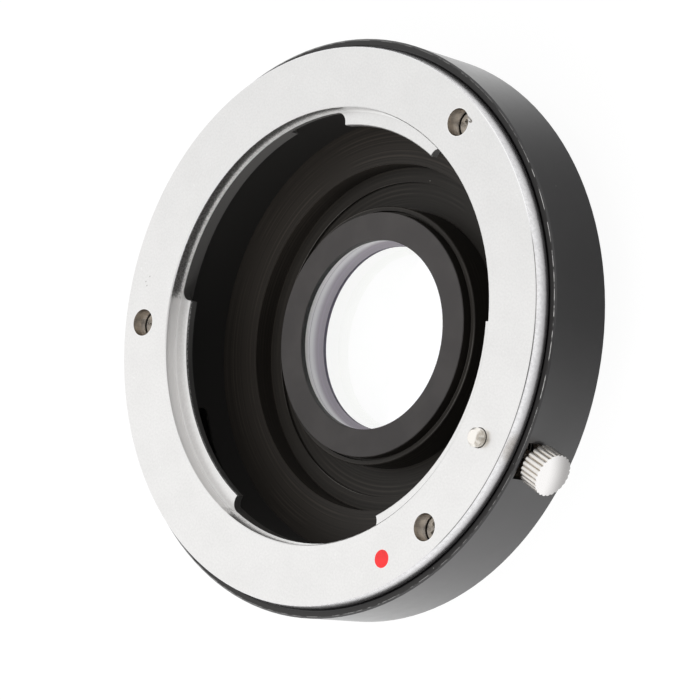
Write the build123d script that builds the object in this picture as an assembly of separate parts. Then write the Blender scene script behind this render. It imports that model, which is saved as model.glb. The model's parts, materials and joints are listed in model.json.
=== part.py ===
from build123d import *
import os

# Lens mount adapter. The origin is the centre of the lens flange face, on the optical axis.
# +Z points to the lens and +X to the lock pin. Lengths are in millimetres, angles in degrees.

# Lens mount ring
flange_r = 32.5
flange_width = 7.08
register_depth = 1.65
ring_thickness = 3.4
ring_proud = 1.8
seat_depth = 0.2
side_draft = 0.33
spigot_inset = 0.9
ring_edge_chamfer = 0.1
bore_edge_chamfer = 0.12
gap_wall_step = 0.26
tab_reach = 1.83
tab_thickness = 1.05
tab_edge_chamfer = 0.12
tab_root_fillet = 1.2
tabs = [(82.6, 35.5), (198.7, 64.9), (320.2, 67.6)]
relief_start_angle = 119.5
relief_angle = 20.0
relief_depth = 1.6
relief_roof = 0.6

# Mount screws and index dot
screw_edge = 3.0
screw_angles = [77.9, 205.7, 335.5]
screw_head_r = 1.45
screw_head_height = 0.8
screw_sink = 2.1
screw_shank_r = 0.8
screw_bite = 4.0
screw_room = 0.15
cross_width = 0.42
cross_length = 1.9
cross_depth = 0.5
dot_edge = 3.05
dot_angle = 321.6
dot_r = 1.05
dot_depth = 0.4
dot_dome = 0.06

# Lock pin, release knob and spring
pin_edge = 3.9
pin_r = 1.1
pin_proud = 1.0
pin_tip_chamfer = 0.3
pin_room = 0.08
collar_r = 1.75
collar_room = 0.1
collar_length = 2.65
collar_gap = 0.05
travel = 1.5
knob_r = 2.55
knob_length = 2.8
knob_standoff = 0.4
knob_teeth = 24
knob_tooth_depth = 0.18
knob_dome = 0.28
shank_r = 0.75
shank_room = 0.05
shank_drop = 1.25
slot_width = 4.5
slot_roof = 2.2
slot_room = 0.3
spring_coil_r = 1.3
spring_wire_r = 0.15
spring_wire_sides = 6
spring_turns = 5

# Leaf springs behind the tabs
leaf_thickness = 0.2
leaf_width = 1.3
leaf_inset = 0.05
leaf_root_angle = 7.0
leaf_arm_angle = 25.0
leaf_margin_angle = 3.0
leaf_bend_angle = 8.0
leaf_tip_flat = 0.15
rivet_r = 0.3
rivet_head_r = 0.5
rivet_head_height = 0.25
rivet_bite = 0.5

# Body
body_height = 9.25
body_draft = 0.38
rim_width = 0.77
seat_room = 0.15
recess_room = 0.1
rim_chamfer = 0.2
rear_chamfer = 0.25
cavity_step = 0.42
pin_bore_floor = 0.85

# Rear bayonet
plate_inset = 3.75
plate_recess = 0.7
plate_proud = 0.95
plate_edge_chamfer = 0.2
barrel_r = 21.7
barrel_wall = 1.25
barrel_length = 4.8
lip_width = 1.45
lip_thickness = 0.8
lip_offset = 1.45
lug_reach = 1.7
lug_thickness = 1.4
lug_offset = 0.5
lug_arc_angle = 52.0
lug_angles = [20.0, 140.0, 260.0]
notch_angle = 92.0
notch_width = 3.2
notch_depth = 0.9
notch_length = 2.6
rear_screw_angles = [45.0, 135.0, 225.0, 315.0]
rear_head_r = 1.6
rear_head_depth = 0.9
rear_shank_r = 0.8
rear_bite = 3.4

# Cell with its glass
cell_room = 0.05
cell_flange_thickness = 1.3
cell_rim_width = 1.76
cell_rim_step = 0.4
cell_tube_r = 15.25
cell_tube_height = 3.95
cell_rim_wall = 0.55
cell_mouth_depth = 1.8
cell_edge_chamfer = 0.1
spanner_width = 1.6
spanner_depth = 0.6
spanner_r = 16.5
glass_edge = 5.1
glass_curve_r = 70.0
glass_lip_width = 0.5
glass_lip_thickness = 0.4
retainer_width = 2.9
retainer_lip = 0.6
retainer_lip_thickness = 0.75
retainer_groove = 0.23
retainer_collar_drop = 0.5
retainer_chamfer = 0.08

# Levels along the axis
ring_rear = -ring_thickness
tab_front = -register_depth
tab_rear = tab_front - tab_thickness
body_front = -ring_proud
flange_seat = body_front - seat_depth
body_rear = body_front - body_height
recess_floor = ring_rear - recess_room
plate_front = body_rear + plate_recess
contact_face = body_rear - plate_proud
barrel_end = contact_face - barrel_length
screw_seat = -screw_sink - screw_head_height
collar_top = ring_rear - collar_gap
collar_bottom = collar_top - collar_length
knob_z = collar_top - shank_drop
pin_bore_bottom = plate_front + pin_bore_floor
lip_top = barrel_end + lip_offset + lip_thickness
cell_floor = lip_top + cell_flange_thickness
cell_rim = cell_floor + cell_tube_height
glass_rear = lip_top + glass_lip_thickness
glass_front = glass_rear + glass_edge

# Radii
register_r = flange_r - flange_width
tab_inner_r = register_r - tab_reach
gap_wall_r = register_r - gap_wall_step
spigot_r = flange_r - spigot_inset
recess_r = spigot_r + recess_room
flange_foot_r = flange_r + side_draft
seat_r = flange_foot_r + seat_room
body_r = seat_r + rim_width
body_rear_r = body_r - body_draft
cavity_r = register_r + cavity_step
screw_circle_r = flange_r - screw_edge
counterbore_r = screw_head_r + screw_room
pin_circle_r = flange_r - pin_edge
pin_bore_r = collar_r + collar_room
plate_r = body_r - plate_inset
plate_screw_r = (cavity_r + plate_r) / 2
barrel_bore_r = barrel_r - barrel_wall
cell_flange_r = barrel_bore_r - cell_room
cell_mouth_r = cell_tube_r - cell_rim_wall
retainer_r = cell_mouth_r - cell_room
glass_r = retainer_r - retainer_width
cell_bore_r = glass_r + cell_room
knob_base_x = body_r + knob_standoff


def turned(points):
    profile = make_face(Polyline(*points, close=True))
    return revolve(Plane.XZ * profile, axis=Axis.Z)


def rod(radius, bottom, top):
    return Pos(0, 0, bottom) * Cylinder(radius, top - bottom, align=(Align.CENTER, Align.CENTER, Align.MIN))


def sector(inner, outer, start, span):
    outer_arc = CenterArc((0, 0), outer, start, span)
    inner_arc = CenterArc((0, 0), inner, start, span)
    sides = Line(inner_arc @ 0, outer_arc @ 0) + Line(inner_arc @ 1, outer_arc @ 1)
    return make_face(outer_arc + inner_arc + sides)


def at_angle(angle, radius, shape):
    return Rot(0, 0, angle) * (Pos(radius, 0, 0) * shape)


def cross_recess(top):
    bar = Pos(0, 0, top - cross_depth / 2) * Box(cross_length, cross_width, cross_depth)
    return bar + Rot(0, 0, 90) * bar


# Lens mount ring: a turned flange with a drafted side, its inner band milled away between the tabs
def make_mount_ring():
    ring = turned([
        (register_r + bore_edge_chamfer, 0),
        (flange_r - ring_edge_chamfer, 0),
        (flange_r, -ring_edge_chamfer),
        (flange_foot_r, flange_seat),
        (spigot_r, flange_seat),
        (spigot_r, ring_rear),
        (gap_wall_r, ring_rear),
        (gap_wall_r, tab_rear),
        (tab_inner_r, tab_rear),
        (tab_inner_r, tab_front - tab_edge_chamfer),
        (tab_inner_r + tab_edge_chamfer, tab_front),
        (register_r, tab_front),
        (register_r, -bore_edge_chamfer),
    ])
    for index, (start, span) in enumerate(tabs):
        next_start = tabs[(index + 1) % len(tabs)][0]
        gap_start = start + span
        gap_span = (next_start - gap_start) % 360
        gap = sector(tab_inner_r - tab_reach, gap_wall_r, gap_start, gap_span)
        gap = fillet(gap.vertices().sort_by(SortBy.DISTANCE)[-2:], tab_root_fillet)
        ring -= Pos(0, 0, tab_rear) * extrude(gap, tab_thickness)
    relief = sector(tab_inner_r, gap_wall_r + relief_depth, relief_start_angle, relief_angle)
    ring -= Pos(0, 0, ring_rear) * extrude(relief, tab_front - relief_roof - ring_rear)
    screw_hole = rod(counterbore_r, screw_seat, 0) + rod(screw_shank_r + screw_room, ring_rear, screw_seat)
    for angle in screw_angles:
        ring -= at_angle(angle, screw_circle_r, screw_hole)
    ring -= at_angle(dot_angle, flange_r - dot_edge, rod(dot_r, -dot_depth, 0))
    ring -= at_angle(0, pin_circle_r, rod(pin_r + pin_room, ring_rear, 0))
    for start, span in tabs:
        ring -= at_rivet(start, span, rod(rivet_r, tab_rear, tab_rear + rivet_bite))
    return ring


# A leaf's root lies at the far end of its tab and its arm points back along the tab
def leaf_root(start, span):
    return start + span - leaf_margin_angle - leaf_root_angle


def at_rivet(start, span, shape):
    angle = leaf_root(start, span) + leaf_root_angle / 2
    return at_angle(angle, tab_inner_r + leaf_inset + leaf_width / 2, shape)


def make_leaf(start, span):
    inner = tab_inner_r + leaf_inset
    outer = inner + leaf_width
    root = extrude(sector(inner, outer, 0, leaf_root_angle), -leaf_thickness)
    arm = sector(inner, outer, -leaf_arm_angle, leaf_arm_angle)
    tip = arm.vertices().sort_by(Axis.Y)[:2].sort_by(SortBy.DISTANCE)[0]
    arm = extrude(fillet(tip, leaf_width - leaf_tip_flat), -leaf_thickness)
    leaf = root + Rot(leaf_bend_angle, 0, 0) * arm
    leaf = Rot(0, 0, leaf_root(start, span)) * (Pos(0, 0, tab_rear) * leaf)
    return leaf - at_rivet(start, span, rod(rivet_r, tab_rear - leaf_thickness, tab_rear))


def make_rivet(start, span):
    head_top = tab_rear - leaf_thickness
    rivet = rod(rivet_head_r, head_top - rivet_head_height, head_top)
    rivet += rod(rivet_r, head_top, tab_rear + rivet_bite)
    return at_rivet(start, span, rivet)


# Body: a slightly tapered ring, recessed for the flange, the spigot and the rear plate
def make_body():
    body = turned([
        (recess_r, flange_seat),
        (seat_r, flange_seat),
        (seat_r, body_front),
        (body_r - rim_chamfer, body_front),
        (body_r, body_front - rim_chamfer),
        (body_rear_r, body_rear + rear_chamfer),
        (body_rear_r - rear_chamfer, body_rear),
        (plate_r + recess_room, body_rear),
        (plate_r + recess_room, plate_front),
        (cavity_r, plate_front),
        (cavity_r, recess_floor),
        (recess_r, recess_floor),
    ])
    body -= at_angle(0, pin_circle_r, rod(pin_bore_r, pin_bore_bottom, ring_rear))
    slot_bottom = knob_z - travel - shank_r - slot_room
    slot_end = slot_bottom + slot_width / 2
    window = Pos(0, slot_end) * Circle(slot_width / 2)
    window += Pos(0, (slot_end - slot_roof) / 2) * Rectangle(slot_width, -slot_roof - slot_end)
    body -= Pos(pin_circle_r, 0, 0) * extrude(Plane.YZ * window, body_r - pin_circle_r)
    for angle in screw_angles:
        body -= at_angle(angle, screw_circle_r, rod(screw_shank_r, ring_rear - screw_bite, ring_rear))
    for angle in rear_screw_angles:
        body -= at_angle(angle, plate_screw_r, rod(rear_shank_r, plate_front, plate_front + rear_bite))
    return body


def make_mount_screw(angle):
    top = -screw_sink
    screw = rod(screw_head_r, screw_seat, top)
    screw += rod(screw_shank_r, ring_rear - screw_bite, screw_seat)
    screw -= cross_recess(top)
    return at_angle(angle, screw_circle_r, screw)


def make_index_dot():
    cap_r = (dot_r**2 + dot_dome**2) / (2 * dot_dome)
    dome = Pos(0, 0, dot_dome - cap_r) * Sphere(cap_r)
    dot = rod(dot_r, -dot_depth, 2 * dot_dome) & dome
    return at_angle(dot_angle, flange_r - dot_edge, dot)


# Lock pin with its collar, cross-drilled for the knob's shank
def make_lock_pin():
    pin = turned([
        (0, collar_bottom),
        (collar_r, collar_bottom),
        (collar_r, collar_top),
        (pin_r, collar_top),
        (pin_r, pin_proud - pin_tip_chamfer),
        (pin_r - pin_tip_chamfer, pin_proud),
        (0, pin_proud),
    ])
    hole = Pos(0, 0, knob_z) * Rot(0, 90, 0) * Cylinder(shank_r + shank_room, 2 * collar_r)
    return Pos(pin_circle_r, 0, 0) * (pin - hole)


# Knob with rounded straight knurling and a domed end, on its shank
def make_knob():
    pitch = 360 / knob_teeth
    crest = Vector(knob_r, 0)
    valley = Vector(knob_r - knob_tooth_depth, 0)
    ridges = Curve()
    for tooth in range(knob_teeth):
        turns = (tooth - 0.5, tooth, tooth + 0.5)
        points = [point.rotate(Axis.Z, pitch * turn) for point, turn in zip((valley, crest, valley), turns)]
        ridges += ThreePointArc(*points)
    drum = extrude(make_face(ridges), knob_length)
    dome_r = (knob_r**2 + knob_dome**2) / (2 * knob_dome)
    drum &= Pos(0, 0, knob_length - dome_r) * Sphere(dome_r)
    shank_length = knob_base_x - pin_circle_r + collar_r / 2
    knob = drum + rod(shank_r, -shank_length, 0)
    return Pos(knob_base_x, 0, knob_z) * Rot(0, 90, 0) * knob


def make_lock_spring():
    height = collar_bottom - pin_bore_bottom - 2 * spring_wire_r
    path = Helix(height / spring_turns, height, spring_coil_r)
    section = Plane(path @ 0, z_dir=path % 0) * RegularPolygon(spring_wire_r, spring_wire_sides)
    coil = sweep(section, path=path)
    return Pos(pin_circle_r, 0, pin_bore_bottom + spring_wire_r) * coil


# Rear bayonet: flange plate, barrel, inner lip and lugs in one piece
def make_rear_bayonet():
    ring = turned([
        (barrel_bore_r, plate_front),
        (plate_r, plate_front),
        (plate_r, contact_face + plate_edge_chamfer),
        (plate_r - plate_edge_chamfer, contact_face),
        (barrel_r, contact_face),
        (barrel_r, barrel_end),
        (barrel_bore_r, barrel_end),
        (barrel_bore_r, lip_top - lip_thickness),
        (barrel_bore_r - lip_width, lip_top - lip_thickness),
        (barrel_bore_r - lip_width, lip_top),
        (barrel_bore_r, lip_top),
    ])
    lug = sector(barrel_r - barrel_wall / 2, barrel_r + lug_reach, -lug_arc_angle / 2, lug_arc_angle)
    lug = Pos(0, 0, barrel_end + lug_offset) * extrude(lug, lug_thickness)
    for angle in lug_angles:
        ring += Rot(0, 0, angle) * lug
    notch = Pos(0, 0, notch_depth / 2) * Box(2 * notch_length, notch_width, notch_depth)
    ring -= at_angle(notch_angle, plate_r, Pos(0, 0, contact_face) * notch)
    hole = rear_screw_form(screw_room, plate_front)
    for angle in rear_screw_angles:
        ring -= at_angle(angle, plate_screw_r, hole)
    return ring


def rear_screw_form(room, top):
    cone_top = contact_face + rear_head_depth
    head = [
        (0, contact_face),
        (rear_head_r + room, contact_face),
        (rear_shank_r + room, cone_top),
        (rear_shank_r + room, top),
        (0, top),
    ]
    return turned(head)


def make_rear_screw(angle):
    screw = rear_screw_form(0, plate_front + rear_bite)
    screw -= cross_recess(contact_face + cross_depth)
    return at_angle(angle, plate_screw_r, screw)


# Cell: a flanged disc with a raised tube, bored for the glass and its retaining ring
def make_cell_holder():
    holder = turned([
        (glass_r - glass_lip_width, lip_top),
        (cell_flange_r, lip_top),
        (cell_flange_r, cell_floor + cell_rim_step),
        (cell_flange_r - cell_rim_width, cell_floor + cell_rim_step),
        (cell_flange_r - cell_rim_width, cell_floor),
        (cell_tube_r, cell_floor),
        (cell_tube_r, cell_rim - cell_edge_chamfer),
        (cell_tube_r - cell_edge_chamfer, cell_rim),
        (cell_mouth_r, cell_rim),
        (cell_mouth_r, cell_rim - cell_mouth_depth),
        (cell_bore_r, cell_rim - cell_mouth_depth),
        (cell_bore_r, glass_rear),
        (glass_r - glass_lip_width, glass_rear),
    ])
    spanner = Box(spanner_width, spanner_width, spanner_depth)
    spanner = Pos(spanner_r, 0, lip_top + spanner_depth / 2) * spanner
    return holder - spanner - Rot(0, 0, 180) * spanner


def make_retaining_ring():
    bore_r = glass_r - retainer_lip
    lip_front = glass_front + retainer_lip_thickness
    nose_r = retainer_r - retainer_groove
    collar_front = cell_rim - retainer_collar_drop
    collar_rear = cell_rim - cell_mouth_depth + cell_room
    return turned([
        (bore_r, glass_front),
        (bore_r, lip_front - retainer_chamfer),
        (bore_r + retainer_chamfer, lip_front),
        (nose_r - retainer_chamfer, lip_front),
        (nose_r, lip_front - retainer_chamfer),
        (nose_r, collar_front),
        (retainer_r, collar_front),
        (retainer_r, collar_rear),
        (cell_bore_r, collar_rear),
        (cell_bore_r, glass_front),
    ])


# Glass: a plano-concave element with a ground edge
def make_lens_element():
    blank = rod(glass_r, glass_rear, glass_front)
    rise = (glass_curve_r**2 - (glass_r - retainer_lip)**2)**0.5
    return blank - Pos(0, 0, glass_front + rise) * Sphere(glass_curve_r)


parts = {
    "body_ring": make_body(),
    "lens_mount_ring": make_mount_ring(),
    "index_dot": make_index_dot(),
    "lock_pin": make_lock_pin(),
    "release_knob": make_knob(),
    "lock_spring": make_lock_spring(),
    "rear_bayonet": make_rear_bayonet(),
    "cell_holder": make_cell_holder(),
    "retaining_ring": make_retaining_ring(),
    "lens_element": make_lens_element(),
}
for number, angle in enumerate(screw_angles, 1):
    parts[f"mount_screw_{number}"] = make_mount_screw(angle)
for number, (start, span) in enumerate(tabs, 1):
    parts[f"leaf_spring_{number}"] = make_leaf(start, span)
    parts[f"leaf_rivet_{number}"] = make_rivet(start, span)
for number, angle in enumerate(rear_screw_angles, 1):
    parts[f"rear_screw_{number}"] = make_rear_screw(angle)

os.makedirs("parts", exist_ok=True)
for name, shape in parts.items():
    export_step(shape, f"parts/{name}.step")
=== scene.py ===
import bpy
import json
import numpy as np
from math import cos, sin, radians
from mathutils import Matrix, Vector


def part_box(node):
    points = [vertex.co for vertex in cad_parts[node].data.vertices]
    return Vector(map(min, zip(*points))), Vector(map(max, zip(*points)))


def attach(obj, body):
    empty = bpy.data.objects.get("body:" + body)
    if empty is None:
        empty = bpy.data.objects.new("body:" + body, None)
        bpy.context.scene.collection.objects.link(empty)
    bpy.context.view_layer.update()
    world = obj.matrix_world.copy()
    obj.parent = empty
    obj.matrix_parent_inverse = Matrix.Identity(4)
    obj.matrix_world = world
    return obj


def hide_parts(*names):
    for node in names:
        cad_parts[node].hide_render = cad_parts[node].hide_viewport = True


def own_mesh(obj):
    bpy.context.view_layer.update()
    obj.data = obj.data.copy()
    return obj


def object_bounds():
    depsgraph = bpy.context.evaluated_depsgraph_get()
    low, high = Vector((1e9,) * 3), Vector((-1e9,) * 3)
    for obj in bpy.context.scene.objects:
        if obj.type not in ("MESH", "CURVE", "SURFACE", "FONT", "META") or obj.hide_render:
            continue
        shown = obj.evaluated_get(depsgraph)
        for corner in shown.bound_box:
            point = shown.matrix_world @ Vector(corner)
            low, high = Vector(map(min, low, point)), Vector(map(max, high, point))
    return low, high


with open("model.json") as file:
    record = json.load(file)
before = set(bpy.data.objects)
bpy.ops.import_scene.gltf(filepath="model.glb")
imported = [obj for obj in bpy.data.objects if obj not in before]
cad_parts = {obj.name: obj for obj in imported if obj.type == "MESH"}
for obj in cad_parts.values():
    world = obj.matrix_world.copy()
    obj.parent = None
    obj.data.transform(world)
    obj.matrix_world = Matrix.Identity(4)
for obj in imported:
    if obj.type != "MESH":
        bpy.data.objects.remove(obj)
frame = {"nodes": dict(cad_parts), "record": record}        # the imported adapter, in metres, lying on its rear barrel
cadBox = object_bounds()
mm = 0.001
print("frame loaded:", len(frame["nodes"]), "nodes")


# sizes read from the frame, in millimetres
def outerRadius(node):
    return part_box(node)[1].y / mm


def levels(node):
    low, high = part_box(node)
    return low.z / mm, high.z / mm


def middle(node):
    low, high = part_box(node)
    return (low + high) / 2


throat = next(m for m in frame["record"]["mounts"] if m["name"] == "lens_throat")
throatRadius = throat["dims"]["r_mm"]
footRadius = outerRadius("lens_mount_ring")
bodyRadius = outerRadius("body_ring")
bodyFront = levels("body_ring")[1]
glassRadius = outerRadius("lens_element")
glassRear, glassFront = levels("lens_element")
retainerFace = levels("retaining_ring")[1]
cellRadius = outerRadius("cell_holder")
cellRear, cellRim = levels("cell_holder")
screwNodes = ("mount_screw_1", "mount_screw_2", "mount_screw_3")

# limits for picking light parts out of a noise, and the width in millimetres of a painted edge
noiseSpread = (0.3, 0.7)
noiseUpper = (0.35, 0.7)
lineSpread = (0.42, 0.7)
hair = 0.02


# node wiring: every call adds one node and hands back its output
class Wiring:
    def __init__(self, tree):
        self.tree = tree

    def feed(self, socket, value):
        if isinstance(value, bpy.types.NodeSocket):
            self.tree.links.new(value, socket)
        else:
            socket.default_value = value

    def add(self, kind, inputs, **settings):
        node = self.tree.nodes.new("ShaderNode" + kind)
        for key, value in settings.items():
            setattr(node, key, value)
        for key, value in inputs.items():
            self.feed(node.inputs[key], value)
        return node

    def math(self, operation, first, second=0.0):
        return self.add("Math", {0: first, 1: second}, operation=operation).outputs[0]

    def vector(self, operation, first, second):
        outputs = self.add("VectorMath", {0: first, 1: second}, operation=operation).outputs
        return outputs["Value" if operation in ("LENGTH", "DISTANCE", "DOT_PRODUCT") else "Vector"]

    def times(self, first, *others):
        for other in others:
            first = self.math("MULTIPLY", first, other)
        return first

    def most(self, masks):
        # the strongest of several masks
        first, *others = masks
        for other in others:
            first = self.math("MAXIMUM", first, other)
        return first

    def fade(self, value, start, end, low=0.0, high=1.0):
        # smooth change from low to high while value goes from start to end
        inputs = {"Value": value, "From Min": start, "From Max": end, "To Min": low, "To Max": high}
        return self.add("MapRange", inputs, interpolation_type="SMOOTHSTEP").outputs[0]

    def band(self, value, low, high, soft):
        # one between low and high, fading to nothing over soft on both sides
        rise = self.fade(value, low - soft, low + soft)
        return self.times(rise, self.fade(value, high - soft, high + soft, 1.0, 0.0))

    def mix(self, factor, first, second):
        # colours are given as three numbers or as a socket
        pair = [(*c, 1.0) if isinstance(c, tuple) else c for c in (first, second)]
        return self.add("Mix", {0: factor, 6: pair[0], 7: pair[1]}, data_type="RGBA").outputs[2]

    def blend(self, factor, first, second):
        return self.add("Mix", {0: factor, 2: first, 3: second}).outputs[0]

    def noise(self, vector, scale, detail=2.0):
        return self.add("TexNoise", {"Vector": vector, "Scale": scale, "Detail": detail}).outputs[0]

    def bump(self, height, distance, strength=1.0):
        inputs = {"Height": height, "Distance": distance, "Strength": strength}
        return self.add("Bump", inputs).outputs[0]

    def group(self, tree, **inputs):
        node = self.tree.nodes.new("ShaderNodeGroup")
        node.node_tree = tree
        for key, value in inputs.items():
            self.feed(node.inputs[key], value)
        return node.outputs


def startGroup(name, inputs, outputs):
    tree = bpy.data.node_groups.new(name, "ShaderNodeTree")
    for label, kind in inputs.items():
        tree.interface.new_socket(label, in_out="INPUT", socket_type="NodeSocket" + kind)
    for label in outputs:
        tree.interface.new_socket(label, in_out="OUTPUT", socket_type="NodeSocketFloat")
    entry = tree.nodes.new("NodeGroupInput")
    leave = tree.nodes.new("NodeGroupOutput")
    return tree, Wiring(tree), entry.outputs, leave.inputs


# shared effects
def makeRoundCoords():
    # millimetres from the optical axis and along it, and degrees about it from 0 to 360
    tree, w, given, out = startGroup("roundCoords", {"Place": "Vector"}, ("Radius", "Height", "Degree"))
    xyz = w.add("SeparateXYZ", {0: given["Place"]}).outputs
    flat = w.add("CombineXYZ", {"X": xyz["X"], "Y": xyz["Y"]}).outputs[0]
    turn = w.math("DEGREES", w.math("ARCTAN2", xyz["Y"], xyz["X"]))
    w.feed(out["Radius"], w.times(w.vector("LENGTH", flat, flat), 1000.0))
    w.feed(out["Height"], w.times(xyz["Z"], 1000.0))
    w.feed(out["Degree"], w.math("FLOORED_MODULO", turn, 360.0))
    return tree


def makeLatheLines():
    # tool marks of a lathe: uneven lines across the way the tool went, fading in and out round the turn
    inputs = {"Place": "Vector", "Along": "Float", "Pitch": "Float"}
    tree, w, given, out = startGroup("latheLines", inputs, ("Lines",))
    step = w.math("DIVIDE", given["Along"], given["Pitch"])
    lines = w.add("TexNoise", {"W": step, "Scale": 1.0, "Detail": 3.0}, noise_dimensions="1D").outputs[0]
    patch = w.noise(given["Place"], 120.0, 2.0)
    w.feed(out["Lines"], w.blend(w.fade(patch, 0.35, 0.65), 0.5, lines))
    return tree


def makeSpecks():
    # sparse round specks: the middle of a few cells, chosen by the cell's own random number
    inputs = {"Place": "Vector", "PerMm": "Float", "Share": "Float", "Size": "Float"}
    tree, w, given, out = startGroup("specks", inputs, ("Specks",))
    scale = w.times(given["PerMm"], 1000.0)
    cells = w.add("TexVoronoi", {"Vector": given["Place"], "Scale": scale}).outputs
    pick = w.add("SeparateColor", {0: cells["Color"]}).outputs[0]
    chosen = w.math("LESS_THAN", pick, given["Share"])
    spot = w.math("LESS_THAN", cells["Distance"], given["Size"])
    w.feed(out["Specks"], w.times(chosen, spot))
    return tree


roundCoords = makeRoundCoords()
latheLines = makeLatheLines()
specks = makeSpecks()


def startMaterial(name, **fixed):
    # a Principled shader with its plain numbers set on its own sockets
    material = bpy.data.materials.new(name)
    material.use_nodes = True
    w = Wiring(material.node_tree)
    shader = material.node_tree.nodes["Principled BSDF"]
    for label, value in fixed.items():
        shader.inputs[label.replace("_", " ")].default_value = value
    place = w.add("TexCoord", {}).outputs["Object"]
    return material, w, shader.inputs, place


# satin chrome of the lens mount ring: blasted face, polished side, grey throat, and gap walls painted dark as shade
ringFinish = {
    "face": (0.915, 0.908, 0.898),
    "faceFar": (0.845, 0.840, 0.832),
    "side": (0.85, 0.845, 0.855),
    "foot": (0.30, 0.293, 0.30),
    "burnished": (0.97, 0.97, 0.96),
    "tarnish": (0.17, 0.165, 0.16),
    "throat": (0.66, 0.650, 0.643),
    "stain": (0.34, 0.333, 0.327),
    "gapWall": (0.075, 0.073, 0.071),
    "tabEdge": (0.52, 0.52, 0.515),
    "counterbore": (0.66, 0.55, 0.43),
    "counterboreDark": (0.34, 0.28, 0.22),
    "pit": (0.30, 0.28, 0.26),
    "draft": 0.33,
    "registerDepth": 1.65,
    "gapStep": 0.26,
    "tabReach": 1.83,
    "boreRoom": 0.15,
    "gaps": ((27.8, 82.6), (118.1, 198.7), (263.6, 320.2)),
    "tarnishTurns": (-24.0, 44.0),
    "brightTurns": (48.0, 76.0),
    "pits": ((-28.63, -7.62), (-28.9, -8.43), (-28.47, -8.76)),
    "pitSize": 0.13,
    "grainScale": 3800.0,
    "cloudScale": 240.0,
    "nickScale": 1300.0,
    "mottleScale": 2400.0,
    "blotchScale": 4200.0,
    "speckleScale": 5200.0,
    "grimeScale": 900.0,
}


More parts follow.
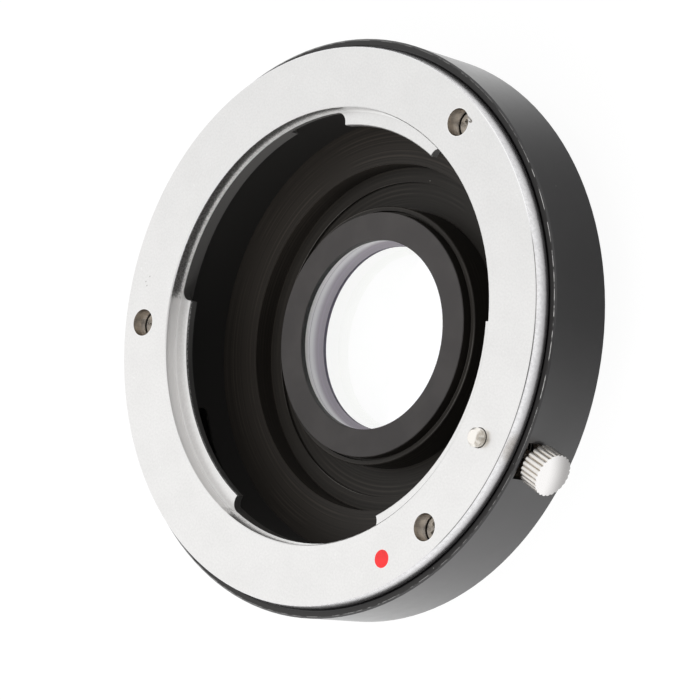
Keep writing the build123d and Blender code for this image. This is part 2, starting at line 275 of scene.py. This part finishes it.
def makeSatinChrome():
    f = ringFinish
    material, w, sockets, place = startMaterial("satinChrome")
    around = w.group(roundCoords, Place=place)
    radius, height, degree = (around[k] for k in ("Radius", "Height", "Degree"))
    faceRadius = footRadius - f["draft"]
    gapRadius = throatRadius - f["gapStep"]
    tabRadius = throatRadius - f["tabReach"]
    shelf = -f["registerDepth"]
    # where each surface lies
    outer = w.fade(radius, faceRadius - 0.12, faceRadius - 0.09)
    edge = w.times(w.band(radius, faceRadius - 0.13, faceRadius - 0.05, hair), w.fade(height, -0.16, -0.1))
    fromBack = w.math("FLOORED_MODULO", w.math("ADD", degree, 180.0), 360.0)
    turns = (f["tarnishTurns"], f["brightTurns"])
    edgeShaded, brightened = (w.band(fromBack, a + 180.0, b + 180.0, 3.0) for a, b in turns)
    gaps = w.most([w.band(degree, start, end, 0.4) for start, end in f["gaps"]])
    wall = w.band(radius, throatRadius - 0.03, throatRadius + 0.08, hair)
    wall = w.times(wall, w.band(height, shelf, -0.1, 0.04))
    onShelf = w.band(height, shelf - 0.02, shelf + 0.02, hair)
    ledge = w.times(w.band(radius, gapRadius - 0.02, throatRadius - 0.03, hair), onShelf)
    underShelf = w.fade(height, shelf - 0.02, shelf - 0.08)
    gapWall = w.times(underShelf, w.fade(radius, gapRadius + 0.1, gapRadius + 0.02))
    underTab = w.fade(height, shelf - 0.1, shelf - 0.16)
    tabEdge = w.times(underTab, w.fade(radius, tabRadius + 0.14, tabRadius + 0.08))
    flat = w.vector("MULTIPLY", place, (1.0, 1.0, 0.0))
    holes, lips = [], []
    for node in screwNodes:
        centre = middle(node)
        holeRadius = (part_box(node)[1].x - centre.x) / mm + f["boreRoom"]
        away = w.times(w.vector("DISTANCE", flat, (centre.x, centre.y, 0.0)), 1.0 / mm)
        holes.append(w.fade(away, holeRadius + 0.03, holeRadius - 0.03))
        lips.append(w.band(away, holeRadius, holeRadius + 0.1, 0.04))
    deep = w.times(w.most(holes), w.fade(height, -0.02, -0.2))
    # blasted face, with painted shade darkening it a little towards the far side
    grain = w.noise(place, f["grainScale"], 3.0)
    cloud = w.noise(place, f["cloudScale"], 3.0)
    across = w.vector("DOT_PRODUCT", place, (-0.3 / mm, 1.0 / mm, 0.0))
    tone = w.mix(w.fade(across, -18.0, 30.0), f["face"], f["faceFar"])
    grainy = w.mix(0.06, tone, (0.0, 0.0, 0.0))
    tone = w.mix(w.fade(grain, *noiseSpread), grainy, tone)
    tone = w.mix(w.fade(cloud, *noiseUpper, 0.0, 0.025), tone, (0.0, 0.0, 0.0))
    nicks = w.fade(w.noise(place, f["nickScale"], 5.0), 0.67, 0.73)
    tone = w.mix(w.times(nicks, 0.5), tone, f["burnished"])
    pits = [w.group(specks, Place=place, PerMm=0.7, Share=0.006, Size=0.1)["Specks"]]
    for x, y in f["pits"]:
        away = w.vector("DISTANCE", flat, (x * mm, y * mm, 0.0))
        pits.append(w.fade(away, f["pitSize"] * mm, 0.4 * f["pitSize"] * mm))
    tone = w.mix(w.times(w.most(pits), 0.6), tone, f["pit"])
    # painted highlight round the edges of the screw holes
    tone = w.mix(w.times(w.most(lips), w.fade(height, -0.05, -0.01), 0.6), tone, f["burnished"])
    # polished side: a little mottled, with painted shade darkening it towards its foot, and on its edge painted shade
    # here and a painted highlight there
    side = w.mix(w.fade(height, -0.2, -1.6), f["side"], f["foot"])
    mottle = w.fade(w.noise(place, f["mottleScale"], 4.0), 0.36, 0.66, 0.0, 0.18)
    tone = w.mix(outer, tone, w.mix(mottle, side, f["foot"]))
    tone = w.mix(w.times(edge, edgeShaded, 0.85), tone, f["tarnish"])
    tone = w.mix(w.times(edge, brightened), tone, (1.0, 1.0, 1.0))
    # throat: stained between the tabs, with a painted highlight on the ledge and painted shade on the gap walls
    blotch = w.times(w.fade(w.noise(place, f["blotchScale"], 4.0), 0.4, 0.62), gaps)
    tone = w.mix(wall, tone, w.mix(w.times(blotch, 0.8), f["throat"], f["stain"]))
    tone = w.mix(ledge, tone, f["burnished"])
    tone = w.mix(gapWall, tone, f["gapWall"])
    speckle = w.fade(w.noise(place, f["speckleScale"], 2.0), 0.35, 0.65)
    # the tabs' inner edges: lighter near the top, going down into the painted shade of the gap walls
    tabEdgeTone = w.mix(w.fade(height, shelf - 0.15, shelf - 0.4), f["tabEdge"], f["gapWall"])
    tone = w.mix(tabEdge, tone, w.mix(speckle, f["gapWall"], tabEdgeTone))
    grime = w.fade(w.noise(place, f["grimeScale"], 4.0), 0.42, 0.6)
    tone = w.mix(deep, tone, w.mix(grime, f["counterbore"], f["counterboreDark"]))
    w.feed(sockets["Base Color"], tone)
    w.feed(sockets["Metallic"], w.fade(gapWall, 0.0, 1.0, 1.0, 0.0))
    rough = w.fade(grain, *noiseSpread, 0.28, 0.36)
    rough = w.blend(outer, rough, 0.24)
    rough = w.blend(wall, rough, 0.4)
    rough = w.blend(deep, rough, 0.32)
    w.feed(sockets["Roughness"], rough)
    smooth = w.math("MAXIMUM", outer, deep)
    w.feed(sockets["Normal"], w.bump(w.blend(smooth, grain, 0.5), 0.012 * mm, 0.4))
    return material


# black anodised body: satin outside, with a duller front rim and, along its edge, a bright line of rubbed wear and
# painted highlight
bodyFinish = {
    "black": (0.0160, 0.0152, 0.0160),
    "cloud": (0.0180, 0.0171, 0.0178),
    "inner": (0.008, 0.0075, 0.007),
    "rim": (0.010, 0.0092, 0.0088),
    "slot": (0.13, 0.105, 0.085),
    "slotReach": 4.2,
    "rubbed": (0.62, 0.61, 0.60),
    "dust": (0.40, 0.39, 0.38),
    "rimChamfer": 0.2,
    "rimWidth": 0.77,
    "rubbedTurns": (8.0, 62.0),
    "seal": 0.35,
    "cloudScale": 300.0,
    "scrapScale": 900.0,
    "grainScale": 900.0,
}


def makeBlackBody():
    f = bodyFinish
    material, w, sockets, place = startMaterial("blackBody", Metallic=0.0, IOR=1.52, Coat_Roughness=0.28)
    around = w.group(roundCoords, Place=place)
    radius, height, degree = (around[k] for k in ("Radius", "Height", "Degree"))
    edge = bodyRadius - f["rimChamfer"]
    outer = w.fade(radius, bodyRadius - f["rimWidth"] - 0.3, bodyRadius - f["rimWidth"])
    rim = w.times(outer, w.fade(height, bodyFront - 0.06, bodyFront - 0.02))
    tone = w.mix(w.fade(w.noise(place, f["cloudScale"], 3.0), *noiseUpper), f["black"], f["cloud"])
    # the slot behind the knob is its own dull brown, painted lighter to stand for light inside the deep slot
    toKnob = w.times(w.vector("DISTANCE", place, middle("release_knob")), 1.0 / mm)
    inner = w.mix(w.fade(toKnob, f["slotReach"] + 0.3, f["slotReach"]), f["inner"], f["slot"])
    tone = w.mix(outer, inner, tone)
    tone = w.mix(rim, tone, f["rim"])
    dust = w.group(specks, Place=place, PerMm=1.0, Share=0.004, Size=0.07)["Specks"]
    rimDust = w.times(w.group(specks, Place=place, PerMm=2.2, Share=0.02, Size=0.16)["Specks"], rim)
    tone = w.mix(w.times(w.most([dust, rimDust]), 0.5), tone, f["dust"])
    # bright line along the rim's edge, partly rubbed wear and partly painted highlight: long and short scraps, most of
    # them on the knob's side
    onEdge = w.band(radius, edge - 0.055, edge + 0.015, 0.015)
    line = w.times(onEdge, w.fade(height, bodyFront - 0.1, bodyFront - 0.05))
    scraps = w.add("TexNoise", {"W": degree, "Scale": 0.3, "Detail": 5.0}, noise_dimensions="1D").outputs[0]
    broken = w.times(w.fade(scraps, 0.40, 0.54), w.fade(w.noise(place, f["scrapScale"], 4.0), 0.36, 0.52))
    rubbed = w.band(degree, *f["rubbedTurns"], 8.0)
    tone = w.mix(w.times(line, broken, w.fade(rubbed, 0.0, 1.0, 0.26, 0.9)), tone, f["rubbed"])
    w.feed(sockets["Base Color"], tone)
    grain = w.noise(place, f["grainScale"], 2.0)
    satin = w.fade(grain, *noiseSpread, 0.28, 0.30)
    rough = w.blend(outer, 0.6, satin)
    w.feed(sockets["Roughness"], w.blend(rim, rough, 0.42))
    w.feed(sockets["Coat Weight"], w.times(outer, w.math("SUBTRACT", 1.0, rim), f["seal"]))
    w.feed(sockets["Normal"], w.bump(grain, 0.001 * mm, 0.2))
    return material


# matte black of the cell and its retaining ring, with the lathe's lines
cellFinish = {
    "black": (0.016, 0.0140, 0.0120),
    "line": (0.031, 0.0268, 0.0224),
    "face": (0.044, 0.0403, 0.0396),
    "faceCloud": (0.054, 0.0497, 0.0484),
    "bore": (0.008, 0.0075, 0.007),
    "edge": (0.16, 0.15, 0.14),
    "dust": (0.35, 0.33, 0.31),
    "pitch": 0.30,
    "stepInset": 1.76,
    "stepRise": 1.7,
    "tubeRadius": 15.25,
    "tubeWall": 0.55,
    "cloudScale": 260.0,
    "wornScale": 60.0,
}


def makeBlackCell():
    f = cellFinish
    material, w, sockets, place = startMaterial("blackCell", Metallic=0.0, IOR=1.38)
    around = w.group(roundCoords, Place=place)
    radius, height = around["Radius"], around["Height"]
    along = w.math("ADD", radius, height)
    lines = w.group(latheLines, Place=place, Along=along, Pitch=f["pitch"])["Lines"]
    face = w.fade(height, retainerFace - 0.1, retainerFace - 0.05)
    tone = w.mix(w.fade(lines, *lineSpread), f["black"], f["line"])
    cloud = w.fade(w.noise(place, f["cloudScale"], 3.0), *noiseUpper)
    tone = w.mix(face, tone, w.mix(cloud, f["face"], f["faceCloud"]))
    # painted shade darkens the bore of the retaining ring
    inBore = w.fade(radius, glassRadius - 0.4, glassRadius - 0.5)
    bore = w.times(inBore, w.fade(height, retainerFace - 0.05, retainerFace - 0.1))
    tone = w.mix(bore, tone, f["bore"])
    # painted highlights along the step's edge and the edges of the tube's rim, broken unevenly by noise
    stepRadius = cellRadius - f["stepInset"]
    stepHeight = cellRear + f["stepRise"]
    step = w.times(w.band(radius, stepRadius - 0.02, stepRadius + 0.06, hair),
                   w.band(height, stepHeight - 0.05, stepHeight + 0.02, hair))
    onRim = w.band(height, cellRim - 0.05, cellRim + 0.02, hair)
    edgeRadii = (f["tubeRadius"] - f["tubeWall"], f["tubeRadius"] - 0.1)
    tubeEdges = [w.band(radius, r - 0.03, r + 0.03, hair) for r in edgeRadii]
    paintedLightMask = w.fade(w.noise(place, f["wornScale"], 1.0), 0.42, 0.58)
    edges = w.most([step, w.times(w.most(tubeEdges), onRim)])
    tone = w.mix(w.times(edges, paintedLightMask, 0.7), tone, f["edge"])
    dust = w.group(specks, Place=place, PerMm=0.9, Share=0.008, Size=0.07)["Specks"]
    tone = w.mix(w.times(dust, 0.6), tone, f["dust"])
    w.feed(sockets["Base Color"], tone)
    w.feed(sockets["Roughness"], w.blend(face, w.fade(lines, *noiseSpread, 0.55, 0.45), 0.42))
    w.feed(sockets["Normal"], w.bump(w.blend(face, lines, 0.5), 0.012 * mm, 0.4))
    return material


# rear bayonet: satin chrome where a camera touches it, blackened inside
rearFinish = {
    "bright": (0.66, 0.66, 0.65),
    "shade": (0.58, 0.58, 0.57),
    "black": (0.018, 0.0156, 0.0134),
    "line": (0.039, 0.0332, 0.0278),
    "pitch": 0.26,
    "grainScale": 3000.0,
}


def makeRearChrome():
    f = rearFinish
    material, w, sockets, place = startMaterial("rearChrome", IOR=1.38)
    around = w.group(roundCoords, Place=place)
    radius, height = around["Radius"], around["Height"]
    top = levels("rear_bayonet")[1]
    inBore = w.fade(radius, cellRadius + 0.2, cellRadius + 0.1)
    inside = w.most([inBore, w.fade(height, top - 0.1, top - 0.05)])
    grain = w.noise(place, f["grainScale"], 3.0)
    bright = w.mix(w.fade(grain, *noiseSpread), f["shade"], f["bright"])
    along = w.math("ADD", radius, height)
    lines = w.group(latheLines, Place=place, Along=along, Pitch=f["pitch"])["Lines"]
    dark = w.mix(w.fade(lines, *lineSpread), f["black"], f["line"])
    w.feed(sockets["Base Color"], w.mix(inside, bright, dark))
    w.feed(sockets["Metallic"], w.fade(inside, 0.0, 1.0, 1.0, 0.0))
    w.feed(sockets["Roughness"], w.blend(inside, w.fade(grain, *noiseSpread, 0.25, 0.33), 0.5))
    w.feed(sockets["Normal"], w.bump(lines, 0.010 * mm, 0.4))
    return material


# nickelled knob: bright crests and end, brown in the grooves of the knurling as painted shade with some dirt
knobFinish = {
    "crest": (0.90, 0.87, 0.83),
    "groove": (0.54, 0.485, 0.41),
    "end": (0.88, 0.865, 0.855),
    "endShade": (0.36, 0.35, 0.345),
    "toothDepth": 0.18,
    "dome": 0.28,
    "grainScale": 1500.0,
}


def makeNickel():
    f = knobFinish
    material, w, sockets, place = startMaterial("brightNickel", Metallic=1.0)
    low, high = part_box("release_knob")
    knobRadius = (high.y - low.y) / 2 / mm
    offAxis = w.vector("MULTIPLY", w.vector("SUBTRACT", place, middle("release_knob")), (0.0, 1.0, 1.0))
    rearward = w.times(w.vector("DOT_PRODUCT", offAxis, (0.0, 0.25, -1.0)), 1.0 / mm)
    depth = w.math("SUBTRACT", knobRadius, w.times(w.vector("LENGTH", offAxis, offAxis), 1.0 / mm))
    along = w.times(w.add("SeparateXYZ", {0: place}).outputs["X"], 1.0 / mm)
    endLevel = high.x / mm - f["dome"]
    end = w.fade(along, endLevel - 0.1, endLevel)
    groove = w.fade(depth, 0.2 * f["toothDepth"], f["toothDepth"])
    grain = w.noise(place, f["grainScale"], 3.0)
    dirtAndShade = w.times(groove, w.fade(grain, 0.25, 0.6, 0.4, 1.0))
    tone = w.mix(dirtAndShade, f["crest"], f["groove"])
    # painted shade greys the end on the side turned to the rear
    paintedLightMask = w.fade(rearward, -0.5 * knobRadius, 0.8 * knobRadius)
    tone = w.mix(end, tone, w.mix(paintedLightMask, f["end"], f["endShade"]))
    w.feed(sockets["Base Color"], tone)
    rough = w.fade(grain, *noiseSpread, 0.24, 0.34)
    w.feed(sockets["Roughness"], w.blend(end, rough, 0.16))
    w.feed(sockets["Normal"], w.bump(grain, 0.006 * mm, 0.4))
    return material


def makeMetal(name, tone, shade, rough, grainScale):
    # plated metal with a fine uneven grain
    material, w, sockets, place = startMaterial(name, Metallic=1.0)
    grain = w.noise(place, grainScale, 3.0)
    w.feed(sockets["Base Color"], w.mix(w.fade(grain, *noiseUpper), shade, tone))
    w.feed(sockets["Roughness"], w.fade(grain, *noiseSpread, rough, rough + 0.1))
    w.feed(sockets["Normal"], w.bump(grain, 0.008 * mm, 0.4))
    return material


# plated screws and rivets
screwFinish = {"tone": (0.70, 0.68, 0.65), "shade": (0.50, 0.48, 0.45), "rough": 0.22, "grainScale": 2600.0}


# turned lock pin: bright, with painted shade on the half towards the knob
pinFinish = {"bright": (0.99, 0.955, 0.90), "dull": (0.50, 0.455, 0.39), "grainScale": 2200.0}


def makePinSteel():
    f = pinFinish
    material, w, sockets, place = startMaterial("pinSteel", Metallic=1.0)
    fromMiddle = w.vector("SUBTRACT", place, middle("lock_pin"))
    outwards = w.vector("DOT_PRODUCT", fromMiddle, (1.0 / mm, 0.2 / mm, 0.0))
    grain = w.noise(place, f["grainScale"], 3.0)
    dull = w.times(w.fade(outwards, 0.35, 0.6), w.fade(grain, 0.3, 0.6, 0.3, 0.9))
    w.feed(sockets["Base Color"], w.mix(dull, f["bright"], f["dull"]))
    w.feed(sockets["Roughness"], w.fade(grain, *noiseSpread, 0.26, 0.36))
    w.feed(sockets["Normal"], w.bump(grain, 0.008 * mm, 0.4))
    return material


# spring steel of the leaves: dark, with a painted highlight along the upper edge
leafFinish = {
    "dark": (0.05, 0.05, 0.048),
    "mottle": (0.08, 0.08, 0.078),
    "edge": (0.42, 0.415, 0.405),
    "edgeWidth": 0.12,
    "grainScale": 1800.0,
}


def makeLeafSteel():
    f = leafFinish
    material, w, sockets, place = startMaterial("leafSteel")
    height = w.group(roundCoords, Place=place)["Height"]
    top = levels("leaf_spring_1")[1]
    edge = w.fade(height, top - f["edgeWidth"], top - 0.6 * f["edgeWidth"])
    grain = w.noise(place, f["grainScale"], 3.0)
    dark = w.mix(w.fade(grain, *noiseUpper), f["dark"], f["mottle"])
    w.feed(sockets["Base Color"], w.mix(edge, dark, f["edge"]))
    w.feed(sockets["Metallic"], w.fade(edge, 0.0, 1.0, 1.0, 0.1))
    w.feed(sockets["Roughness"], w.fade(grain, *noiseSpread, 0.32, 0.42))
    w.feed(sockets["Normal"], w.bump(grain, 0.008 * mm, 0.4))
    return material


# red enamel of the index dot
enamelFinish = {
    "red": (0.82, 0.012, 0.014),
    "bright": (0.88, 0.018, 0.020),
    "coat": 0.2,
    "cloudScale": 1500.0,
}


def makeRedEnamel():
    f = enamelFinish
    material, w, sockets, place = startMaterial("redEnamel", Coat_Weight=f["coat"])
    cloud = w.noise(place, f["cloudScale"], 3.0)
    w.feed(sockets["Base Color"], w.mix(w.fade(cloud, *noiseSpread), f["red"], f["bright"]))
    w.feed(sockets["Roughness"], w.fade(cloud, *noiseSpread, 0.28, 0.4))
    w.feed(sockets["Normal"], w.bump(cloud, 0.02 * mm, 0.3))
    return material


# coated glass: clear, with a violet tint in what it mirrors
glassFinish = {
    "ior": 1.52,
    "tint": (0.72, 0.62, 1.0, 1.0),
    "smear": (0.985, 0.99, 0.99),
    "clear": (1.0, 1.0, 1.0),
    "smearScale": 160.0,
}


def makeCoatedGlass():
    f = glassFinish
    fixed = {"Transmission_Weight": 1.0, "IOR": f["ior"], "Specular_Tint": f["tint"]}
    material, w, sockets, place = startMaterial("coatedGlass", Metallic=0.0, **fixed)
    smear = w.noise(place, f["smearScale"], 2.0)
    w.feed(sockets["Base Color"], w.mix(smear, f["smear"], f["clear"]))
    w.feed(sockets["Roughness"], w.fade(smear, 0.3, 0.8, 0.0, 0.012))
    return material


# ground edge of the glass: pale at the front, greyed towards the rear by painted shade, with a dark line and a mauve
# foot
groundFinish = {
    "pale": (0.72, 0.715, 0.72),
    "bright": (0.82, 0.82, 0.825),
    "grey": (0.36, 0.335, 0.36),
    "mauve": (0.40, 0.365, 0.41),
    "line": (0.30, 0.29, 0.30),
    "glow": 0.10,
}


def makeGroundGlass():
    # light that the glass carries to its ground edge is a faint glow of the edge's own colour
    f = groundFinish
    material, w, sockets, place = startMaterial("groundGlass", Metallic=0.0, Emission_Strength=f["glow"])
    height = w.group(roundCoords, Place=place)["Height"]
    depth = w.fade(height, glassFront, glassRear)
    lines = w.group(latheLines, Place=place, Along=height, Pitch=0.25)["Lines"]
    pale = w.mix(w.fade(lines, *noiseSpread), f["pale"], f["bright"])
    tone = w.mix(w.fade(depth, 0.5, 0.95), pale, f["grey"])
    tone = w.mix(w.times(w.band(depth, 0.32, 0.35, 0.015), 0.8), tone, f["line"])
    tone = w.mix(w.band(depth, 0.93, 0.985, 0.015), tone, f["mauve"])
    w.feed(sockets["Base Color"], tone)
    w.feed(sockets["Emission Color"], tone)
    w.feed(sockets["Roughness"], w.fade(lines, *noiseSpread, 0.5, 0.7))
    return material


finishes = {
    "satin_chrome": makeSatinChrome(),
    "black_body": makeBlackBody(),
    "black_cell": makeBlackCell(),
    "chromed_brass": makeRearChrome(),
    "screw_steel": makeMetal("screwSteel", **screwFinish),
    "pin_steel": makePinSteel(),
    "nickel": makeNickel(),
    "spring_steel": makeLeafSteel(),
    "red_enamel": makeRedEnamel(),
    "optical_glass": makeCoatedGlass(),
}
for part in frame["record"]["subparts"]:
    frame["nodes"][part["node"]].material_slots[0].material = finishes[part["material_slot"]]
print("finishes set:", len(finishes))


def addSurface(name, points, faces, material, body):
    mesh = bpy.data.meshes.new(name)
    mesh.from_pydata(points.tolist(), [], faces)
    mesh.polygons.foreach_set("use_smooth", np.ones(len(mesh.polygons), dtype=bool))
    mesh.materials.append(material)
    piece = bpy.data.objects.new(name, mesh)
    bpy.context.scene.collection.objects.link(piece)
    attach(piece, body)
    return piece


def ringFaces(rings, corners, closed):
    # quads between neighbouring rings of a grid whose rings close on themselves
    i, j = np.meshgrid(np.arange(rings if closed else rings - 1), np.arange(corners), indexing="ij")
    k, m = (i + 1) % rings, (j + 1) % corners
    quads = np.stack([i * corners + j, k * corners + j, k * corners + m, i * corners + m], axis=-1)
    return quads.reshape(-1, 4).tolist()


# ground edge of the glass: a thin band just inside the glass's wall, with a foot over its seat
groundEdge = {"gap": 0.02, "wall": 0.06, "inset": 0.05, "foot": 0.55, "steps": 160}


def makeGroundEdge():
    # a profile of six corners, shaped like an L, carried once round the optical axis and closed on itself
    g = groundEdge
    outer = glassRadius - g["gap"]
    inner = outer - g["wall"]
    toe = outer - g["foot"]
    bottom, top = glassRear + g["inset"], glassFront - g["inset"]
    shelf = bottom + g["wall"]
    radius = np.array([toe, outer, outer, inner, inner, toe]) * mm
    height = np.array([bottom, bottom, top, top, shelf, shelf]) * mm
    turn = np.linspace(0.0, 2.0 * np.pi, g["steps"], endpoint=False)[:, None]
    points = np.stack([radius * np.cos(turn), radius * np.sin(turn), height + 0.0 * turn], axis=-1)
    faces = ringFaces(g["steps"], len(radius), True)
    material = makeGroundGlass()
    addSurface("ground_edge", points.reshape(-1, 3), faces, material, "adapter")


# curled burr left by the drill at the edge of the far screw's hole
burr = {
    "length": 1.25,
    "heading": -14.0,
    "start": (6.95, 30.08),
    "thick": 0.075,
    "straight": 0.5,
    "curl": 250.0,
    "strides": (1.5, 0.9),
    "tip": 0.35,
    "steps": 40,
    "corners": 8,
}
burrFinish = {"tone": (0.42, 0.40, 0.38), "shade": (0.28, 0.26, 0.24), "rough": 0.35, "grainScale": 2600.0}


def makeBurr():
    # a thin round wire lying on the face: straight at first, then turning in a circle, tapered at both ends
    b = burr
    s = np.linspace(0.0, 1.0, b["steps"])
    curled = np.clip((s - b["straight"]) / (1.0 - b["straight"]), 0.0, 1.0)
    bend = np.radians(b["heading"]) - curled * np.radians(b["curl"])
    stride = b["length"] / (b["steps"] - 1) * np.where(s < b["straight"], *b["strides"])
    x, y = np.cumsum(stride * np.cos(bend)), np.cumsum(stride * np.sin(bend))
    middleLine = np.stack([x, y, 0.0 * s], axis=-1)
    middleLine += np.array([*b["start"], 0.75 * b["thick"]])
    ahead = np.stack([np.cos(bend), np.sin(bend), 0.0 * s], axis=-1)
    beside = np.stack([-ahead[:, 1], ahead[:, 0], 0.0 * s], axis=-1)
    width = b["thick"] * (b["tip"] + (1.0 - b["tip"]) * np.sin(np.pi * s) ** 0.5)
    turn = np.linspace(0.0, 2.0 * np.pi, b["corners"], endpoint=False)
    upright = np.array([0.0, 0.0, 1.0])
    ring = np.cos(turn)[None, :, None] * beside[:, None, :] + np.sin(turn)[None, :, None] * upright
    points = (middleLine[:, None, :] + width[:, None, None] * ring).reshape(-1, 3)
    last = (b["steps"] - 1) * b["corners"]
    faces = ringFaces(b["steps"], b["corners"], False)
    faces += [list(range(b["corners"])), list(range(last + b["corners"] - 1, last - 1, -1))]
    metal = makeMetal("burrMetal", **burrFinish)
    addSurface("hole_burr", points * mm, faces, metal, "adapter")


# coil of the lock spring, built at one length; the real spring shortens as the pin is drawn in
coil = {"turns": 5, "wire": 0.15, "corners": 8, "steps": 140}
wireFinish = {"tone": (0.52, 0.51, 0.49), "shade": (0.38, 0.37, 0.36), "rough": 0.28, "grainScale": 1800.0}


def makeCoil():
    # a round wire carried up a helix: each ring of points stands upright across its middle line
    c = coil
    low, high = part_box("lock_spring")
    centre = np.array(middle("lock_spring"))
    wire = c["wire"] * mm
    reach = (high.y - low.y) / 2 - wire
    turn = np.linspace(0.0, 2.0 * np.pi * c["turns"], c["steps"])
    rise = np.linspace(low.z + wire, high.z - wire, c["steps"])
    around = np.linspace(0.0, 2.0 * np.pi, c["corners"], endpoint=False)
    radius = reach + wire * np.cos(around)[None, :]
    height = rise[:, None] + wire * np.sin(around)[None, :]
    x = centre[0] + radius * np.cos(turn)[:, None]
    y = centre[1] + radius * np.sin(turn)[:, None]
    points = np.stack([x, y, height], axis=-1).reshape(-1, 3)
    last = (c["steps"] - 1) * c["corners"]
    faces = ringFaces(c["steps"], c["corners"], False)
    faces += [list(range(c["corners"])), list(range(last + c["corners"] - 1, last - 1, -1))]
    metal = makeMetal("springWire", **wireFinish)
    piece = addSurface("lock_coil", points, faces, metal, "adapter")
    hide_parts("lock_spring")
    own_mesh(piece)


makeGroundEdge()
makeBurr()
makeCoil()
print("pieces added")


# camera of the photograph: bearing and height round the aim point, and its roll
viewPoint = {
    "aim": (3.238, -1.265, -2.6),
    "bearing": 18.77,
    "elevation": 46.39,
    "roll": -79.385,
    "distance": 546.8,
    "lens": 244.1,
    "sensor": 36.0,
}


def viewDirection():
    bearing, elevation = radians(viewPoint["bearing"]), radians(viewPoint["elevation"])
    return Vector((cos(elevation) * cos(bearing), cos(elevation) * sin(bearing), sin(elevation)))


def makeCamera():
    v = viewPoint
    bearing, roll = radians(v["bearing"]), radians(v["roll"])
    back = viewDirection()
    level = Vector((-sin(bearing), cos(bearing), 0.0))
    upright = back.cross(level)
    right = cos(roll) * level + sin(roll) * upright
    up = cos(roll) * upright - sin(roll) * level
    place = (Vector(v["aim"]) + v["distance"] * back) * mm
    data = bpy.data.cameras.new("camera")
    data.lens = v["lens"]
    data.sensor_width = v["sensor"]
    camera = bpy.data.objects.new("camera", data)
    camera.matrix_world = Matrix.Translation(place) @ Matrix((right, up, back)).transposed().to_4x4()
    bpy.context.scene.collection.objects.link(camera)
    bpy.context.scene.camera = camera


# floor, world and lamps
stageLook = {
    "floorReach": 6.0,
    "glow": 0.94,
    "shadow": 0.09,
    "bounce": 0.85,
    "mirrored": 1.0,
    "mirroredShade": 0.76,
    "shadeBearing": 52.0,
    "shadeNear": 44.0,
    "shadeFar": 60.0,
    "sky": 0.25,
    "darkCard": 0.75,
    "cardReach": (8.0, 14.0),
}


def seesBackground(w):
    # a mask of the rays that show the background, and one of the mirrored rays alone
    path = w.add("LightPath", {}).outputs
    through = path["Is Transmission Ray"]
    mirrored = w.times(path["Is Glossy Ray"], w.math("SUBTRACT", 1.0, through))
    return w.most([path["Is Camera Ray"], mirrored, through]), mirrored


def makeFloor():
    s = stageLook
    reach = s["floorReach"]
    corners = np.array([[-reach, -reach], [reach, -reach], [reach, reach], [-reach, reach]])
    points = np.column_stack([corners, np.full(4, cadBox[0].z)])
    mesh = bpy.data.meshes.new("floor")
    mesh.from_pydata(points.tolist(), [], [(0, 1, 2, 3)])
    floor = bpy.data.objects.new("floor", mesh)
    bpy.context.scene.collection.objects.link(floor)
    material = bpy.data.materials.new("paleFloor")
    material.use_nodes = True
    material.node_tree.nodes.clear()
    w = Wiring(material.node_tree)
    seen, mirrored = seesBackground(w)
    # mirrored in the object, the floor is darker close by on the side away from the lamp
    around = w.group(roundCoords, Place=w.add("TexCoord", {}).outputs["Object"])
    bearing = w.math("RADIANS", w.math("SUBTRACT", around["Degree"], s["shadeBearing"]))
    shade = w.fade(w.math("COSINE", bearing), 0.55, 1.0, 0.0, s["mirroredShade"])
    shade = w.times(shade, w.fade(around["Radius"], s["shadeFar"], s["shadeNear"]))
    strength = w.blend(mirrored, s["glow"], w.math("SUBTRACT", s["mirrored"], shade))
    glow = w.add("Emission", {"Color": (1.0, 1.0, 1.0, 1.0), "Strength": strength}).outputs[0]
    dull = w.add("BsdfDiffuse", {"Color": (s["shadow"],) * 3 + (1.0,)}).outputs[0]
    shown = w.add("AddShader", {0: glow, 1: dull}).outputs[0]
    plain = w.add("BsdfDiffuse", {"Color": (s["bounce"],) * 3 + (1.0,)}).outputs[0]
    both = w.add("MixShader", {0: seen, 1: plain, 2: shown}).outputs[0]
    w.add("OutputMaterial", {"Surface": both})
    mesh.materials.append(material)


def makeSky():
    # white where it is seen, with a small dark card for mirrored rays where the photographer stood
    s = stageLook
    world = bpy.data.worlds.new("studio")
    bpy.context.scene.world = world
    world.use_nodes = True
    world.node_tree.nodes.clear()
    w = Wiring(world.node_tree)
    seen, mirrored = seesBackground(w)
    toCard = w.vector("DOT_PRODUCT", w.add("TexCoord", {}).outputs["Generated"], viewDirection())
    near, far = (cos(radians(a)) for a in s["cardReach"])
    card = w.times(mirrored, w.fade(toCard, far, near, 0.0, s["darkCard"]))
    strength = w.blend(seen, s["sky"], w.math("SUBTRACT", 1.0, card))
    back = w.add("Background", {"Color": (1.0, 1.0, 1.0, 1.0), "Strength": strength}).outputs[0]
    w.add("OutputWorld", {"Surface": back})


# the lamps light dull surfaces alone, so that no bright disc shows in the metal
lamps = {
    "overhead": {"place": (0.0, 0.0, 0.60), "size": 1.10, "watts": 3.7},
    "low": {"place": (0.30, -0.48, 0.14), "size": 0.40, "watts": 4.0},
}


def makeLamps():
    for name, lamp in lamps.items():
        data = bpy.data.lights.new(name, "AREA")
        data.shape = "DISK"
        data.size = lamp["size"]
        data.energy = lamp["watts"]
        light = bpy.data.objects.new(name, data)
        light.location = lamp["place"]
        light.rotation_euler = (-Vector(lamp["place"])).to_track_quat("-Z", "Y").to_euler()
        light.visible_glossy = False
        bpy.context.scene.collection.objects.link(light)


makeFloor()
makeSky()
makeLamps()
makeCamera()
bpy.context.scene.view_settings.view_transform = "Standard"
print("stage, lamps and camera set")
